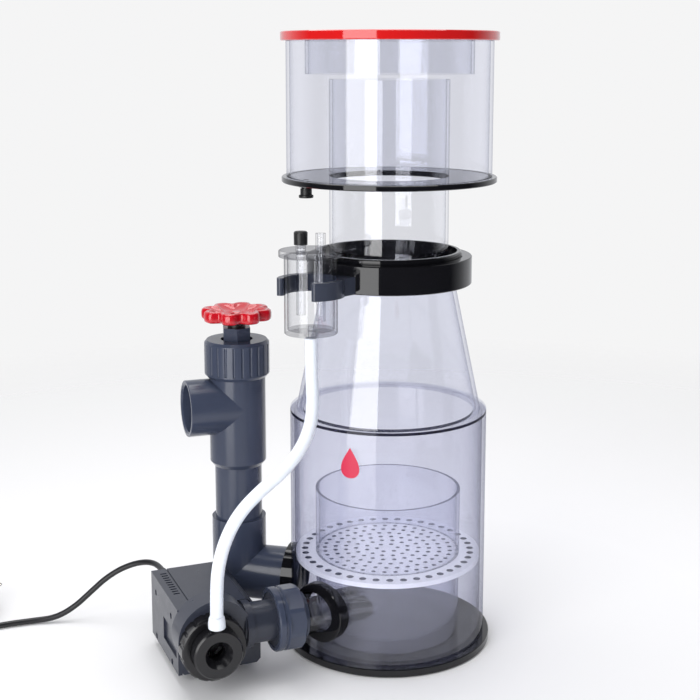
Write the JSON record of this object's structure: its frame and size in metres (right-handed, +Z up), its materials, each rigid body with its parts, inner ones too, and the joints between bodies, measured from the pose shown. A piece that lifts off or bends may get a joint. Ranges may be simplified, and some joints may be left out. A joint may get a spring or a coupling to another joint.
{
  "type": "protein skimmer",
  "caption": "Free-standing aquarium protein skimmer: clear reaction tube and cone, twist-off foam cup, external needle-wheel pump on a union, riser with a wheel valve, and an air silencer.",
  "frame": {"origin": "centre of the base plate's underside, on the axis of the reaction tube", "axes": "+Z up along the reaction tube; -Y is the front; the pump and riser stand on the -X side"},
  "size_m": [0.6225, 0.282, 0.6305],
  "materials": {
    "black_acrylic": "polished black acrylic",
    "clear_acrylic": "clear cast acrylic with a faint smoke tint",
    "frosted_plate": "white translucent acrylic",
    "red_acrylic": "polished red acrylic",
    "red_plastic": "moulded red plastic",
    "grey_pvc": "dark blue-grey PVC, satin",
    "slate_plastic": "moulded slate-grey plastic",
    "black_plastic": "moulded black plastic",
    "black_rubber": "soft black rubber",
    "white_hose": "translucent white silicone",
    "cord_jacket": "black flexible jacket",
    "stainless": "stainless screw",
    "ceramic": "polished ceramic",
    "ferrite": "sealed ferrite magnet",
    "copper": "enamelled copper winding",
    "steel_core": "laminated steel",
    "white_plastic": "moulded white plastic",
    "nickel_pins": "nickel-plated brass"
  },
  "bodies": {
    "skimmer_body": {"base_plate": "black_acrylic", "body_collar": "black_acrylic", "outlet_flange": "black_acrylic", "inlet_flange": "black_acrylic", "body_tube": "clear_acrylic", "body_top_ring": "clear_acrylic", "cone": "clear_acrylic", "silencer_jar": "clear_acrylic", "silencer_lid": "clear_acrylic", "bleed_tube": "clear_acrylic", "air_inlet_tube": "clear_acrylic", "silencer_barb": "clear_acrylic", "diffuser_tube": "clear_acrylic", "chamber_tube": "clear_acrylic", "inlet_nozzle": "clear_acrylic", "inlet_pipe": "clear_acrylic", "bubble_plate": "frosted_plate", "outlet_elbow": "grey_pvc", "riser_pipe": "grey_pvc", "valve_tee": "grey_pvc", "valve_bonnet": "grey_pvc", "union_tail": "grey_pvc", "volute_housing": "grey_pvc", "motor_housing": "slate_plastic", "motor_side_plate": "slate_plastic", "silencer_clip": "slate_plastic", "intake_cover": "black_plastic", "mains_plug": "black_plastic", "union_seal": "black_rubber", "stem_seal": "black_rubber", "shaft_bushes": "black_rubber", "cord_gland": "black_rubber", "air_hose": "white_hose", "power_cord": "cord_jacket", "power_cord_coil": "cord_jacket", "side_plate_screws": "stainless", "rotor_shaft": "ceramic", "stator_coil": "copper", "stator_core": "steel_core", "plug_pins": "nickel_pins"},
    "cup": {"neck_ring": "black_acrylic", "neck_tube": "clear_acrylic", "cup_floor": "black_acrylic", "cup_wall": "clear_acrylic", "drain_nipple": "black_plastic"},
    "neck_seal": {"neck_seal": "black_rubber"},
    "lid": {"lid_disc": "red_acrylic", "lid_deflector": "clear_acrylic"},
    "drain_cap": {"drain_cap": "black_rubber"},
    "valve_wheel": {"valve_handwheel": "red_plastic", "wheel_screw": "stainless", "valve_stem": "black_plastic"},
    "valve_plug": {"valve_plug": "black_plastic", "plug_seal": "black_rubber"},
    "cap_nut": {"valve_cap_nut": "grey_pvc"},
    "union_nut": {"union_nut": "grey_pvc"},
    "lock_ring": {"lock_ring": "black_plastic"},
    "rotor": {"impeller": "white_plastic", "rotor_magnet": "ferrite"},
    "bleed_cap": {"bleed_cap": "black_rubber"}
  },
  "joints": [
    {"name": "cup_turn", "type": "hinge", "parent": "skimmer_body", "child": "neck_seal", "pos_m": [0, 0, 0.394], "axis": [0, 0, 1], "continuous": true},
    {"name": "cup_lift", "type": "slide", "parent": "neck_seal", "child": "cup", "axis": [0, 0, 1], "range_m": [0, 0.15]},
    {"name": "lid_lift", "type": "slide", "parent": "cup", "child": "lid", "axis": [0, 0, 1], "range_m": [0, 0.12]},
    {"name": "drain_cap_pull", "type": "slide", "parent": "cup", "child": "drain_cap", "axis": [0, 0, -1], "range_m": [0, 0.02]},
    {"name": "valve_wheel_turn", "type": "hinge", "parent": "skimmer_body", "child": "valve_wheel", "pos_m": [-0.16, 0.042, 0.34], "axis": [0, 0, 1], "range_deg": [-3960, 0]},
    {"name": "valve_plug_travel", "type": "slide", "parent": "skimmer_body", "child": "valve_plug", "axis": [0, 0, 1], "range_m": [-0.0661, 0]},
    {"name": "cap_nut_turn", "type": "hinge", "parent": "skimmer_body", "child": "cap_nut", "pos_m": [-0.16, 0.042, 0.29], "axis": [0, 0, 1], "continuous": true},
    {"name": "union_nut_turn", "type": "hinge", "parent": "skimmer_body", "child": "union_nut", "pos_m": [-0.06775, -0.07766, 0.057], "axis": [-0.9265, -0.3762, 0], "continuous": true},
    {"name": "lock_ring_turn", "type": "hinge", "parent": "skimmer_body", "child": "lock_ring", "pos_m": [-0.162, -0.1645, 0.0506], "axis": [-0.3762, 0.9265, 0], "range_deg": [0, 30]},
    {"name": "rotor_spin", "type": "hinge", "parent": "skimmer_body", "child": "rotor", "pos_m": [-0.162, -0.1645, 0.0506], "axis": [-0.3762, 0.9265, 0], "continuous": true},
    {"name": "bleed_cap_pull", "type": "slide", "parent": "skimmer_body", "child": "bleed_cap", "axis": [0, 0, 1], "range_m": [0, 0.02]}
  ],
  "couplings": [
    {"joint": "valve_plug_travel", "follows": "valve_wheel_turn", "m_per_rad": 0.00095493}
  ]
}
